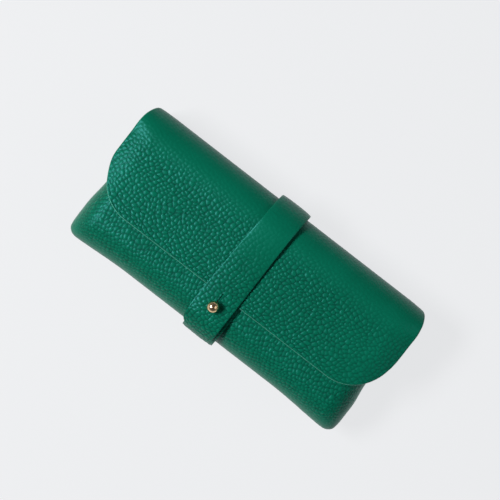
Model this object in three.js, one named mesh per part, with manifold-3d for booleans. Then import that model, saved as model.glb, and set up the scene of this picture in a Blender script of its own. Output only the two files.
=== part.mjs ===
// A soft leather case for two pairs of glasses, closed by a wrap-round strap and a ball stud.
// Millimetres. +Z up, the case lies on its back: the bottom fold is towards -Y, the spine that
// the flap turns over is towards +Y, and the seams close the two ends at -X and +X.
import * as THREE from "three";
import { mergeVertices } from "three/addons/utils/BufferGeometryUtils.js";
import Module from "manifold-3d";

const wasm = await Module();
wasm.setup();

// ---- driving dimensions -------------------------------------------------------------------
const POUCH_LENGTH = 183; // from seam to seam, along X
const POUCH_DEPTH = 83.2; // from the bottom fold to the spine, along Y
const POUCH_THICKNESS = 37.2; // the filled pouch, back face to front face
const LEATHER = 1.4; // panels and flap
const LINING = 0.5; // microfibre glued inside every panel
const LAYER_GAP = 0.3; // clearance between layers that lie on each other
const FOLD_REACH = 17; // the pouch reaches full thickness this far from its bottom fold
const END_REACH = 8.5; // and this far from the seams at its ends
const POUCH_CORNER = 4; // plan radius at the two bottom corners
const BACK_CORNER = 5.5; // where the back panel turns up into the spine
const MOUTH_SETBACK = 8.6; // from the spine to the mouth edge of the front panel

const FLAP_WIDTH = 188; // the flap stands a little past both ends
const FLAP_EDGE_Y = -18.5; // free edge of the flap
const FLAP_CORNER = 24.5; // its two round free corners
const SPINE_RADIUS = 17; // outside radius where the flap turns over the spine
const SPINE_NARROWING = 4; // the flap's sides draw in by this much at the spine
const LINING_SETBACK = 2; // the flap lining stops short of the flap's cut edge

const STRAP_WIDTH = 19.2;
const STRAP_THICKNESS = 1.5;
const STRAP_STANDOFF = 1.8; // the strap bows clear of the spine and the bottom fold
const STRAP_X = 1.2; // the strap's centre line on the back
const STRAP_FOLD_REACH = 14.5; // the strap's own bend round the bottom fold
const STRAP_FRONT_END_Y = -19.1; // where the lower run of the strap stops on the front
const TAIL_LEFT_X = -12.2; // the tail flares: its two edges at the tip
const TAIL_RIGHT_X = 9.1;
const TAIL_TIP_CORNER = 5; // the left corner of the tip is well rounded
const TAIL_TIP_ANGLE = 45; // how far round the bottom fold the tip reaches, degrees
const TAIL_DIP_START_Y = -6; // the tail leaves the flap's level here
const TAIL_DIP_END_Y = -22; // and lies at the stud's level from here

const STUD_X = -1.5;
const STUD_Y = -26.4;
const BALL_DIAMETER = 6.5;
const NECK_DIAMETER = 3.6;
const STUD_FLANGE_DIAMETER = 7.6;
const STUD_FLANGE_THICKNESS = 0.8;
const STUD_THREAD_DEPTH = 3.2;
const SCREW_DIAMETER = 1.9;
const SCREW_HEAD_DIAMETER = 6;
const SCREW_HEAD_THICKNESS = 0.9;
const SCREW_SLOT = 0.7;
const KEYHOLE_CLEARANCE = 0.4; // round the neck
const SLIT_LENGTH = 8.7; // from the stud's centre towards the spine
const SLIT_WIDTH = 0.5;

const DIVIDER = 1; // the leather sheet between the two compartments
const DIVIDER_SETBACK = 10; // from the spine to the divider's mouth edge
const BINDING = 0.8; // the strip folded over the divider's mouth edge
const BINDING_DEPTH = 4;

const HINGE_GAP = 0.2; // the leather is one sheet; it is parted by this much where it bends
const ARC_STEP = 10; // degrees between the points of an arc
const FAR = 200; // past everything

// ---- derived places -----------------------------------------------------------------------
const SPINE_Y = POUCH_DEPTH / 2;
const FOLD_Y = -POUCH_DEPTH / 2;
const MID_Z = POUCH_THICKNESS / 2; // height of the end seams and of the divider
const FLAP_STACK = LAYER_GAP + LINING + LAYER_GAP + LEATHER;
const FLAP_TOP = POUCH_THICKNESS + FLAP_STACK;
const LINING_INSET = LEATHER + LAYER_GAP; // outer face of a lining below its panel's outer face
const CAVITY_INSET = LINING_INSET + LINING;
const STRAP_PROUD = STRAP_STANDOFF + STRAP_THICKNESS;
const CHANNEL_INSET = STRAP_THICKNESS + LAYER_GAP; // the back gives way by this much to the strap
const BASE_TOP = POUCH_THICKNESS + LAYER_GAP + STRAP_THICKNESS; // lower run of the strap, at the stud
const TAIL_SEAT = BASE_TOP + STUD_FLANGE_THICKNESS + LAYER_GAP;

// The corner arcs that the hinge lines lie on, each at 45 degrees.
const spineArc = { y: SPINE_Y - SPINE_RADIUS, z: FLAP_TOP - SPINE_RADIUS };
const backArc = { y: SPINE_Y - BACK_CORNER, z: BACK_CORNER };
const strapArc = { y: SPINE_Y + STRAP_PROUD - BACK_CORNER, z: BACK_CORNER };

// The back corner's hinge plane runs inwards at 45 degrees to just inside the spine's lining.
const innerY = SPINE_Y - CAVITY_INSET - LAYER_GAP;
const hingeRoot = { y: innerY, z: strapArc.z + strapArc.y - innerY };

const leather = new THREE.MeshStandardMaterial({ color: 0x0d654d, roughness: 0.55, metalness: 0 });
const suede = new THREE.MeshStandardMaterial({ color: 0x8f8468, roughness: 0.95, metalness: 0 });
const brass = new THREE.MeshStandardMaterial({ color: 0xd9b36c, roughness: 0.2, metalness: 1 });

// ---- shape helpers ------------------------------------------------------------------------
/** Points of an elliptical arc; angles in degrees, from the first axis towards the second. */
function arc(centreA, centreB, radiusA, radiusB, from, to) {
  const steps = Math.max(2, Math.round(Math.abs(to - from) / ARC_STEP));
  const points = [];
  for (let i = 0; i <= steps; i += 1) {
    const angle = THREE.MathUtils.degToRad(from + ((to - from) * i) / steps);
    points.push([centreA + radiusA * Math.cos(angle), centreB + radiusB * Math.sin(angle)]);
  }
  return points;
}

/** A closed mesh with only its positions, as a solid. */
function solidOf(geometry) {
  const bare = geometry.clone();
  bare.deleteAttribute("normal");
  bare.deleteAttribute("uv");
  const merged = mergeVertices(bare, 1e-4);
  const mesh = new wasm.Mesh({
    numProp: 3,
    vertProperties: new Float32Array(merged.attributes.position.array),
    triVerts: new Uint32Array(merged.index.array),
  });
  return new wasm.Manifold(mesh);
}

/** An outline pushed along an axis: (y, z) along x, (x, z) along y, or (x, y) along z. */
function prism(axis, points, low, high) {
  const shape = new THREE.Shape(points.map(([a, b]) => new THREE.Vector2(a, b)));
  const geometry = new THREE.ExtrudeGeometry(shape, { depth: high - low, bevelEnabled: false });
  const [x, y, z] = [new THREE.Vector3(1, 0, 0), new THREE.Vector3(0, 1, 0), new THREE.Vector3(0, 0, 1)];
  const frames = {
    x: new THREE.Matrix4().makeBasis(y, z, x).setPosition(low, 0, 0),
    y: new THREE.Matrix4().makeBasis(x, z, y.clone().negate()).setPosition(0, high, 0),
    z: new THREE.Matrix4().setPosition(0, 0, low),
  };
  return solidOf(geometry.applyMatrix4(frames[axis]));
}

function box(width, depth, height, x, y, z) {
  return solidOf(new THREE.BoxGeometry(width, depth, height).translate(x, y, z));
}

/** An upright round bar between two heights, at the stud's place. */
function studBar(diameter, low, high) {
  const bar = new THREE.CylinderGeometry(diameter / 2, diameter / 2, high - low, 24);
  return solidOf(bar.rotateX(Math.PI / 2).translate(STUD_X, STUD_Y, (low + high) / 2));
}

function meshOf(name, solid, material) {
  const { numProp, vertProperties, triVerts } = solid.getMesh();
  const geometry = new THREE.BufferGeometry();
  const positions = new Float32Array((vertProperties.length / numProp) * 3);
  for (let i = 0; i < positions.length / 3; i += 1) {
    positions.set(vertProperties.subarray(i * numProp, i * numProp + 3), i * 3);
  }
  geometry.setAttribute("position", new THREE.BufferAttribute(positions, 3));
  geometry.setIndex(new THREE.BufferAttribute(new Uint32Array(triVerts), 1));
  geometry.computeVertexNormals();
  const mesh = new THREE.Mesh(geometry, material);
  mesh.name = name;
  return mesh;
}

// ---- the forms that the layers are cut from -----------------------------------------------
/** The filled pouch, drawn in by an inset from its outer face. */
function pouchForm(inset) {
  const side = [
    ...arc(FOLD_Y + FOLD_REACH, MID_Z, FOLD_REACH - inset, MID_Z - inset, 90, 270),
    ...arc(backArc.y, backArc.z, BACK_CORNER - inset, BACK_CORNER - inset, -90, 0),
    [SPINE_Y - inset, MID_Z],
    ...arc(spineArc.y, spineArc.z, SPINE_RADIUS - FLAP_STACK - inset, SPINE_RADIUS - FLAP_STACK - inset, 0, 90),
  ];
  const endX = POUCH_LENGTH / 2 - END_REACH;
  const across = [
    ...arc(endX, MID_Z, END_REACH - inset, MID_Z - inset, -90, 90),
    ...arc(-endX, MID_Z, END_REACH - inset, MID_Z - inset, 90, 270),
  ];
  const halfLength = POUCH_LENGTH / 2 - inset;
  const radius = Math.max(POUCH_CORNER - inset, 1);
  const plan = [
    ...arc(radius - halfLength, FOLD_Y + inset + radius, radius, radius, 180, 270),
    ...arc(halfLength - radius, FOLD_Y + inset + radius, radius, radius, 270, 360),
    [halfLength, FAR],
    [-halfLength, FAR],
  ];
  return prism("x", side, -FAR, FAR).intersect(prism("y", across, -FAR, FAR)).intersect(prism("z", plan, -FAR, FAR));
}

/** What the strap's run along the back and round the fold pushes out of the pouch's form. */
function strapChannel(inset) {
  const depth = CHANNEL_INSET + inset;
  const foldCentreY = FOLD_Y - STRAP_PROUD + STRAP_FOLD_REACH;
  const foldHeight = BASE_TOP / 2;
  const below = [
    ...arc(foldCentreY, foldHeight, STRAP_FOLD_REACH - depth, foldHeight - depth, 180, 270),
    ...arc(strapArc.y, strapArc.z, BACK_CORNER - depth, BACK_CORNER - depth, -90, 0),
    [FAR, strapArc.z],
    [FAR, -FAR],
    [-FAR, -FAR],
    [-FAR, foldHeight],
  ];
  const halfWidth = STRAP_WIDTH / 2 + LAYER_GAP + inset;
  return prism("x", below, STRAP_X - halfWidth, STRAP_X + halfWidth);
}

function pouchShell(outerInset, innerInset) {
  const outer = pouchForm(outerInset).subtract(strapChannel(outerInset));
  const inner = pouchForm(innerInset).subtract(strapChannel(innerInset));
  return outer.subtract(inner).subtract(mouth());
}

/** Back corner, spine and flap in section: all that lies inside the turned-over leather. */
function wrapForm(inset) {
  const section = [
    [-FAR, inset],
    ...arc(backArc.y, backArc.z, BACK_CORNER - inset, BACK_CORNER - inset, -90, 0),
    ...arc(spineArc.y, spineArc.z, SPINE_RADIUS - inset, SPINE_RADIUS - inset, 0, 90),
    [-FAR, FLAP_TOP - inset],
  ];
  return prism("x", section, -FAR, FAR);
}

/** The same for the strap's own path over the spine and down to its tip. */
function strapWrapForm(inset) {
  const outside = SPINE_RADIUS + STRAP_PROUD - inset;
  const foldCentreY = FOLD_Y - STRAP_PROUD + STRAP_FOLD_REACH;
  const foldHeight = BASE_TOP / 2;
  const tailTop = TAIL_SEAT + STRAP_THICKNESS;
  const tailReach = STRAP_FOLD_REACH + LAYER_GAP + STRAP_THICKNESS;
  const section = [
    ...arc(strapArc.y, strapArc.z, BACK_CORNER - inset, BACK_CORNER - inset, -90, 0),
    ...arc(spineArc.y, spineArc.z, outside, outside, 0, 90),
    [TAIL_DIP_START_Y, FLAP_TOP + STRAP_PROUD - inset],
    [TAIL_DIP_END_Y, tailTop - inset],
    ...arc(foldCentreY, foldHeight, tailReach - inset, tailTop - foldHeight - inset, 90, 180),
    [foldCentreY, inset],
  ];
  return prism("x", section, -FAR, FAR);
}

/** The strap's lower run: along the back, round the bottom fold and up to the stud. */
function strapBaseForm(inset) {
  const foldCentreY = FOLD_Y - STRAP_PROUD + STRAP_FOLD_REACH;
  const foldHeight = BASE_TOP / 2;
  const section = [
    ...arc(foldCentreY, foldHeight, STRAP_FOLD_REACH - inset, foldHeight - inset, 90, 270),
    ...arc(strapArc.y, strapArc.z, BACK_CORNER - inset, BACK_CORNER - inset, -90, 0),
    [SPINE_Y + STRAP_PROUD - inset, BASE_TOP - inset],
  ];
  return prism("x", section, -FAR, FAR);
}

/** The flap's outline seen from above. */
function flapOutline(inset) {
  const half = FLAP_WIDTH / 2 - inset;
  const corner = FLAP_CORNER - inset;
  const narrowing = SPINE_NARROWING;
  const cornerY = FLAP_EDGE_Y + inset + corner;
  const outline = [
    ...arc(corner - half, cornerY, corner, corner, 180, 270),
    ...arc(half - corner, cornerY, corner, corner, 270, 360),
    ...arc(half - narrowing, spineArc.y, narrowing, SPINE_RADIUS, 0, 90),
    [half - narrowing, FAR],
    [narrowing - half, FAR],
    ...arc(narrowing - half, spineArc.y, narrowing, SPINE_RADIUS, 90, 180),
  ];
  return prism("z", outline, -FAR, FAR);
}

// ---- where the sheet is parted: hinge planes, seen along X --------------------------------
const HALF_GAP = HINGE_GAP / 2;
const DIAGONAL = Math.SQRT1_2;

/** Everything past the mouth and past the back corner's hinge plane. */
function mouth() {
  const shift = HALF_GAP * DIAGONAL;
  const beyond = [
    [hingeRoot.y - shift, hingeRoot.z - shift],
    [hingeRoot.y - shift + FAR, hingeRoot.z - shift - FAR],
    [hingeRoot.y + FAR, FAR],
    [SPINE_Y - MOUTH_SETBACK, FAR],
    [SPINE_Y - MOUTH_SETBACK, POUCH_THICKNESS],
  ];
  return prism("x", beyond, -FAR, FAR);
}

/** The wedge between the back corner's hinge plane and the flap's. */
function spineZone() {
  const shift = HALF_GAP * DIAGONAL;
  const wedge = [
    [hingeRoot.y + shift, hingeRoot.z + shift],
    [hingeRoot.y + shift + FAR, hingeRoot.z + shift - FAR],
    [spineArc.y + shift + FAR, spineArc.z - shift + FAR],
    [spineArc.y + shift, spineArc.z - shift],
  ];
  return prism("x", wedge, -FAR, FAR);
}

/** Above the flap's hinge plane, from one Y to another. */
function flapZone(lowY, highY) {
  const shift = HALF_GAP * DIAGONAL;
  const zone = [
    [spineArc.y - shift, spineArc.z + shift],
    [spineArc.y - shift + FAR, spineArc.z + shift + FAR],
    [-FAR, spineArc.z + FAR],
    [-FAR, spineArc.z + shift],
  ];
  const span = highY - lowY;
  return prism("x", zone, -FAR, FAR).intersect(box(2 * FAR, span, 2 * FAR, 0, lowY + span / 2, 0));
}

// ---- the pouch ----------------------------------------------------------------------------
function halfOf(shell, upper) {
  return shell.intersect(box(2 * FAR, 2 * FAR, FAR, 0, 0, MID_Z + (upper ? FAR / 2 : -FAR / 2)));
}

function frontPanel() {
  const shell = halfOf(pouchShell(0, LEATHER), true);
  return meshOf("front_panel", shell.subtract(screwHole()), leather);
}

function backPanel() {
  return meshOf("back_panel", halfOf(pouchShell(0, LEATHER), false), leather);
}

function frontLining() {
  const shell = halfOf(pouchShell(LINING_INSET, CAVITY_INSET), true);
  return meshOf("front_lining", shell.subtract(screwHole()), suede);
}

function backLining() {
  return meshOf("back_lining", halfOf(pouchShell(LINING_INSET, CAVITY_INSET), false), suede);
}

function divider() {
  const edgeY = SPINE_Y - DIVIDER_SETBACK;
  const slab = box(2 * FAR, FAR, DIVIDER, 0, edgeY - FAR / 2, MID_Z);
  return meshOf("divider", pouchForm(CAVITY_INSET + LAYER_GAP).intersect(slab), suede);
}

function dividerBinding() {
  const edgeY = SPINE_Y - DIVIDER_SETBACK;
  const depth = BINDING_DEPTH + BINDING;
  const strip = box(2 * FAR, depth, DIVIDER + 2 * BINDING, 0, edgeY + BINDING - depth / 2, MID_Z);
  const slot = box(2 * FAR, BINDING_DEPTH, DIVIDER, 0, edgeY - BINDING_DEPTH / 2, MID_Z);
  const folded = strip.subtract(slot).intersect(pouchForm(CAVITY_INSET + LAYER_GAP));
  return meshOf("divider_binding", folded, leather);
}

// ---- spine and flap -----------------------------------------------------------------------
function wrapLayer(outerInset, innerInset, edgeInset) {
  return wrapForm(outerInset).subtract(wrapForm(innerInset)).intersect(flapOutline(edgeInset));
}

function spinePanel() {
  return meshOf("spine_panel", wrapLayer(0, LEATHER, 0).intersect(spineZone()), leather);
}

function spineLining() {
  const layer = wrapLayer(LINING_INSET, CAVITY_INSET, LINING_SETBACK);
  return meshOf("spine_lining", layer.intersect(spineZone()), suede);
}

function flapPanel() {
  return meshOf("flap_panel", wrapLayer(0, LEATHER, 0).intersect(flapZone(-FAR, FAR)), leather);
}

function flapLining() {
  const layer = wrapLayer(LINING_INSET, CAVITY_INSET, LINING_SETBACK);
  return meshOf("flap_lining", layer.intersect(flapZone(-FAR, FAR)), suede);
}

// ---- the strap ----------------------------------------------------------------------------
function strapBase() {
  const layer = strapBaseForm(0).subtract(strapBaseForm(STRAP_THICKNESS));
  const ahead = box(2 * FAR, FAR, FAR, 0, STRAP_FRONT_END_Y + FAR / 2, MID_Z + FAR / 2);
  const width = box(STRAP_WIDTH, 2 * FAR, 2 * FAR, STRAP_X, 0, 0);
  const strip = layer.intersect(width).subtract(mouth()).subtract(ahead);
  return meshOf("strap_base", strip.subtract(screwHole()), leather);
}

function strapLayer() {
  return strapWrapForm(0).subtract(strapWrapForm(STRAP_THICKNESS));
}

function strapSpine() {
  const width = box(STRAP_WIDTH, 2 * FAR, 2 * FAR, STRAP_X, 0, 0);
  return meshOf("strap_spine", strapLayer().intersect(spineZone()).intersect(width), leather);
}

function strapShoulder() {
  const width = box(STRAP_WIDTH, 2 * FAR, 2 * FAR, STRAP_X, 0, 0);
  const zone = flapZone(spineArc.y + HALF_GAP, FAR);
  return meshOf("strap_shoulder", strapLayer().intersect(zone).intersect(width), leather);
}

/** The tail flares towards its tip, seen from above. */
function tailOutline() {
  const tipY = FOLD_Y - 1;
  const startY = spineArc.y;
  const centreX = TAIL_LEFT_X + TAIL_TIP_CORNER;
  const outline = [
    [STRAP_X + STRAP_WIDTH / 2, startY],
    [STRAP_X - STRAP_WIDTH / 2, startY],
    ...arc(centreX, tipY + TAIL_TIP_CORNER, TAIL_TIP_CORNER, TAIL_TIP_CORNER, 180, 270),
    [TAIL_RIGHT_X, tipY],
  ];
  return prism("z", outline, -FAR, FAR);
}

function strapTail() {
  const foldCentreY = FOLD_Y - STRAP_PROUD + STRAP_FOLD_REACH;
  const angle = THREE.MathUtils.degToRad(90 + TAIL_TIP_ANGLE);
  const pastTip = [
    [foldCentreY, BASE_TOP / 2],
    [foldCentreY + FAR * Math.cos(angle), BASE_TOP / 2 + FAR * Math.sin(angle)],
    [-FAR, -FAR],
    [foldCentreY, -FAR],
  ];
  const zone = flapZone(-FAR, spineArc.y - HALF_GAP);
  const strip = strapLayer().intersect(zone).intersect(tailOutline()).subtract(prism("x", pastTip, -FAR, FAR));
  const keyhole = studBar(NECK_DIAMETER + 2 * KEYHOLE_CLEARANCE, 0, FAR);
  const slit = box(SLIT_WIDTH, SLIT_LENGTH, FAR, STUD_X, STUD_Y + SLIT_LENGTH / 2, FAR / 2);
  return meshOf("strap_tail", strip.subtract(keyhole).subtract(slit), leather);
}

// ---- the stud and its screw ---------------------------------------------------------------
/** Clearance for the screw through strap, front panel and lining. */
function screwHole() {
  return studBar(SCREW_DIAMETER + 2 * LAYER_GAP, MID_Z, FAR);
}

/** A ball on a neck, standing on a flange; the thread comes up into it from below. */
function stud() {
  const neck = NECK_DIAMETER / 2;
  const ball = BALL_DIAMETER / 2;
  const flange = STUD_FLANGE_DIAMETER / 2;
  const thread = SCREW_DIAMETER / 2 + LAYER_GAP;
  const drop = Math.sqrt(ball * ball - neck * neck);
  const ballZ = STUD_FLANGE_THICKNESS + LAYER_GAP + STRAP_THICKNESS + LAYER_GAP + drop;
  const neckAngle = -THREE.MathUtils.radToDeg(Math.asin(drop / ball));
  const profile = [
    [0, STUD_THREAD_DEPTH],
    [thread, STUD_THREAD_DEPTH],
    [thread, 0],
    [flange, 0],
    [flange, STUD_FLANGE_THICKNESS],
    [neck, STUD_FLANGE_THICKNESS],
    ...arc(0, ballZ, ball, ball, neckAngle, 90),
  ];
  profile[profile.length - 1][0] = 0;
  const turned = new THREE.LatheGeometry(profile.map(([r, z]) => new THREE.Vector2(r, z)), 28);
  const mesh = meshOf("stud", solidOf(turned.rotateX(Math.PI / 2)), brass);
  mesh.position.set(STUD_X, STUD_Y, BASE_TOP);
  return mesh;
}

function studScrew() {
  const headTop = screwSeat();
  const tip = BASE_TOP + STUD_THREAD_DEPTH - LAYER_GAP;
  const head = studBar(SCREW_HEAD_DIAMETER, headTop - SCREW_HEAD_THICKNESS, headTop);
  const slotZ = headTop - SCREW_HEAD_THICKNESS;
  const slot = box(SCREW_HEAD_DIAMETER, SCREW_SLOT, SCREW_SLOT, STUD_X, STUD_Y, slotZ);
  const shank = studBar(SCREW_DIAMETER, headTop - SCREW_HEAD_THICKNESS / 2, tip);
  return meshOf("stud_screw", head.add(shank).subtract(slot), brass);
}

/** Height of the lining's inside face at the screw head's lower rim, less a clearance. */
function screwSeat() {
  const reach = FOLD_REACH - CAVITY_INSET;
  const rim = Math.max(FOLD_Y + FOLD_REACH - (STUD_Y - SCREW_HEAD_DIAMETER / 2), 0);
  const rise = (MID_Z - CAVITY_INSET) * Math.sqrt(1 - (rim / reach) ** 2);
  return MID_Z + rise - LAYER_GAP;
}

// ---- assembly -----------------------------------------------------------------------------
const pouch = new THREE.Group();
pouch.add(backPanel(), frontPanel(), backLining(), frontLining(), divider(), dividerBinding());
pouch.add(strapBase(), stud(), studScrew());

const spine = new THREE.Group();
spine.add(spinePanel(), spineLining(), strapSpine());

const flap = new THREE.Group();
flap.add(flapPanel(), flapLining(), strapShoulder());

const tail = new THREE.Group();
tail.add(strapTail());

const glassesCase = new THREE.Group();
glassesCase.add(pouch, spine, flap, tail);

export default glassesCase;
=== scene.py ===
"""A soft pebbled leather case for glasses, closed by a wrap strap and a ball stud, over its CAD frame.

Shapes are worked out in millimetres from the CAD nodes' boxes and become metres in mesh_object().
A sheet of leather is a grid: rows follow a path in the YZ plane, columns run across X.
"""
import math

import bpy
import numpy as np
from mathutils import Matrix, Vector


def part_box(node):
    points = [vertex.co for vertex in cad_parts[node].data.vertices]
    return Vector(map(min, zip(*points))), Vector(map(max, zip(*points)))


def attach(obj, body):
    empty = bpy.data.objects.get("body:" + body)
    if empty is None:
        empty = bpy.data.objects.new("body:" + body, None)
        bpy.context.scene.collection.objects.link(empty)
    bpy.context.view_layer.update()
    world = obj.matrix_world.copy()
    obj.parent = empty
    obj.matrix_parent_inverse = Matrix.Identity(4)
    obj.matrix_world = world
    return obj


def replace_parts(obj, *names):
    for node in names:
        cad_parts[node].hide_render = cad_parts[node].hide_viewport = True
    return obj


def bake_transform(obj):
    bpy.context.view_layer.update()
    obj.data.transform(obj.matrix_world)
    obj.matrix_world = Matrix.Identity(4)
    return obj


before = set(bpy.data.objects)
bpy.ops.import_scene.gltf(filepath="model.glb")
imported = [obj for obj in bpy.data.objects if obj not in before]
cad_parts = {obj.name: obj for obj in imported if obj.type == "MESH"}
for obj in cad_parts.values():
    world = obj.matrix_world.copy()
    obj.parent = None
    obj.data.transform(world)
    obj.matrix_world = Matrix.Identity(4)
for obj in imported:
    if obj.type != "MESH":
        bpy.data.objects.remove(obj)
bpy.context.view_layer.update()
MM = 0.001


def node_box(name):
    """Lowest and highest corner of a CAD node, in millimetres."""
    low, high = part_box(name)
    return np.array(low) / MM, np.array(high) / MM


# ---- places taken from the frame ------------------------------------------------------------
front_low, front_high = node_box("front_panel")
flap_low, flap_high = node_box("flap_panel")
spine_high = node_box("spine_panel")[1]
base_low, base_high = node_box("strap_base")
shoulder_high = node_box("strap_shoulder")[1]
tail_low = node_box("strap_tail")[0]
stud_low, stud_high = node_box("stud")
screw_low, screw_high = node_box("stud_screw")

HALF_LENGTH = front_high[0]
FOLD_Y = front_low[1]
SPINE_Y = spine_high[1]
POUCH_TOP = front_high[2]
MID_Z = POUCH_TOP / 2
FLAP_TOP = flap_high[2]
FLAP_EDGE_Y = flap_low[1]
HALF_FLAP = flap_high[0]
STRAP_TOP = shoulder_high[2]
STRAP_BACK_Y = base_high[1]
STRAP_FOLD_Y = base_low[1]
BASE_TOP = base_high[2]
BASE_FRONT_Y = -19.1
BASE_LEFT, BASE_RIGHT = base_low[0], base_high[0]
BASE_MIDDLE = (BASE_LEFT + BASE_RIGHT) / 2
STUD_X, STUD_Y = (stud_low[:2] + stud_high[:2]) / 2
STUD_TOP = stud_high[2]

# ---- sizes that the frame's boxes don't give, in millimetres --------------------------------
LEATHER = 1.4
STRAP = 1.5
LINING = 0.5
LINING_INSET = 1.7
FOLD_REACH = 17.0
END_REACH = 8.5
SPINE_RADIUS = 17.0
MOUTH_RADIUS = 14.5
BACK_CORNER = 5.5
FLAP_CORNER = 24.5
SPINE_NARROWING = 4.0
STRAP_FOLD_REACH = 14.5
MOUTH_Y = 33.0
MOUTH_SLANT = 0.194
SPLIT_Z = 14.0  # where the spine is cut into its lower and upper strip
EAR = 2.0  # how far the fold stands out at the two ends
CHANNEL = 1.8  # how deep the strap presses into the back
CHANNEL_HALF = 9.8
CHANNEL_FADE = 5
PEBBLE = 2.4  # pitch of the grain
GRAIN_LEVEL = 0.8  # the grain height that leaves the surface where it is
COARSE = 4  # lines of the outer grid to one of the inner grid
PATH_STEP = 0.1
ROLLED = 0.6  # width of the rolled cut edge
ROLL_DEPTH = 0.18
GRAIN_MARGIN = 1.2  # width over which the grain fades at an edge
SPINE_CENTRE = (SPINE_Y - SPINE_RADIUS, FLAP_TOP - SPINE_RADIUS)


# ---- small maths ----------------------------------------------------------------------------
def smooth(t):
    """0 to 1 with level ends."""
    t = np.clip(t, 0, 1)
    return t * t * (3 - 2 * t)


def arc(centre, radii, start, end, steps=24):
    """Points of an elliptical arc in the YZ plane, angles in degrees from +Y towards +Z."""
    angles = np.radians(np.linspace(start, end, steps + 1))
    return [(centre[0] + radii[0] * math.cos(a), centre[1] + radii[1] * math.sin(a)) for a in angles]


class Path:
    """A smooth line in the YZ plane, asked by the distance along it."""

    def __init__(self, points, soften=0.0):
        points = np.array(points, float)
        steps = np.hypot(*np.diff(points, axis=0).T)
        along = np.r_[0, np.cumsum(steps)]
        self.length = along[-1]
        self.at = np.linspace(0, self.length, int(self.length / PATH_STEP) + 1)
        self.line = np.stack([np.interp(self.at, along, points[:, k]) for k in (0, 1)], axis=1)
        if soften:
            self._soften(soften)

    def _soften(self, reach):
        """Rounds the corners off; the two ends stay where they are."""
        half = int(reach / PATH_STEP)
        kernel = np.hanning(2 * half + 3)[1:-1]
        kernel /= kernel.sum()
        start, end = self.line[0], self.line[-1]
        before = 2 * start - self.line[half:0:-1]
        after = 2 * end - self.line[-2 : -half - 2 : -1]
        long = np.vstack([before, self.line, after])
        self.line = np.stack([np.convolve(long[:, k], kernel, "valid") for k in (0, 1)], axis=1)

    def sample(self, stations):
        """Points and outward normals; the path runs with the outside on its right."""
        tangent = np.gradient(self.line, axis=0)
        tangent /= np.linalg.norm(tangent, axis=1)[:, None]
        normal = np.stack([tangent[:, 1], -tangent[:, 0]], axis=1)
        pick = [np.interp(stations, self.at, column) for column in (*self.line.T, *normal.T)]
        return np.stack(pick[:2], axis=1), np.stack(pick[2:], axis=1)


# ---- the leather's own relief ---------------------------------------------------------------
CELLS = 113
cell_random = np.random.default_rng(11)
CELL_PLACE = 0.15 + 0.7 * cell_random.random((CELLS, CELLS, 2))
CELL_HEIGHT = cell_random.random((CELLS, CELLS))


def pebbles(u, v, pitch=PEBBLE):
    """Grain height, 0 in the creases to 1 on the pebbles, for places on the hide in millimetres."""
    a = (u + 0.4 * v) / (1.15 * pitch) + 0.18 * np.sin(v / 3.1 + 1.7) + 0.12 * np.sin(u / 2.3)
    b = (v - 0.3 * u) / pitch + 0.18 * np.sin(u / 3.7) + 0.12 * np.sin(v / 2.1 + 0.6)
    nearest, second, level = np.full(a.shape, 9.0), np.full(a.shape, 9.0), np.zeros(a.shape)
    for da in (-1, 0, 1):
        for db in (-1, 0, 1):
            ia, ib = np.floor(a).astype(int) + da, np.floor(b).astype(int) + db
            place = CELL_PLACE[ia % CELLS, ib % CELLS]
            reach = np.hypot(ia + place[..., 0] - a, ib + place[..., 1] - b)
            closer = reach < nearest
            second = np.where(closer, nearest, np.minimum(second, reach))
            level = np.where(closer, CELL_HEIGHT[ia % CELLS, ib % CELLS], level)
            nearest = np.minimum(nearest, reach)
    rise = np.clip((second - nearest) / 0.8, 0, 1)
    return (1 - (1 - rise) ** 2) * (0.7 + 0.3 * level)


def muted(grain, strength):
    """The grain attribute where the hide is pulled smooth: less painted shade in its shallower creases."""
    return 0.85 + (grain - 0.85) * np.maximum(strength, 0.3)


def swell(u, v):
    """Slow unevenness of the filled case, in millimetres, about -1 to 1."""
    total = np.sin(u / 23 + 0.4) * np.sin(v / 17 + 1.1) + 0.6 * np.sin(u / 11 + v / 19 + 2.0)
    return (total + 0.4 * np.sin(u / 31 - v / 9 + 0.7)) / 2


# ---- mesh making ----------------------------------------------------------------------------
def grid_normals(points):
    """Unit normals of a grid of points, outward as the path's right-hand side."""
    across = np.gradient(points, axis=1)
    along = np.gradient(points, axis=0)
    normal = np.cross(along, across)
    return normal / np.maximum(np.linalg.norm(normal, axis=2), 1e-9)[..., None]


def mesh_object(name, vertices, faces, face_slots, materials, hide=None, grain=None):
    """A mesh from points in millimetres; hide holds the place on the hide for each vertex."""
    mesh = bpy.data.meshes.new(name)
    mesh.from_pydata((vertices * MM).tolist(), [], faces)
    mesh.polygons.foreach_set("material_index", np.asarray(face_slots, np.int32))
    mesh.polygons.foreach_set("use_smooth", np.ones(len(faces), bool))
    for material in materials:
        mesh.materials.append(material)
    if hide is not None:
        loops = np.empty(len(mesh.loops), np.int32)
        mesh.loops.foreach_get("vertex_index", loops)
        layer = mesh.uv_layers.new(name="hide")
        layer.data.foreach_set("uv", (hide[loops] * MM).astype(np.float32).ravel())
    if grain is not None:
        mesh.attributes.new("grain", "FLOAT", "POINT").data.foreach_set("value", grain.astype(np.float32))
    mesh.update()
    mesh.set_sharp_from_angle(angle=math.radians(50))
    obj = bpy.data.objects.new(name, mesh)
    bpy.context.scene.collection.objects.link(obj)
    return obj


def quads(index):
    """Faces over a grid of vertex numbers."""
    return np.stack([index[:-1, :-1], index[:-1, 1:], index[1:, 1:], index[1:, :-1]], -1).reshape(-1, 4)


def border(grid):
    """The values round a grid's edge, as one closed loop."""
    return np.concatenate([grid[0, :-1], grid[:-1, -1], grid[-1, :0:-1], grid[:0:-1, 0]])


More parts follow.
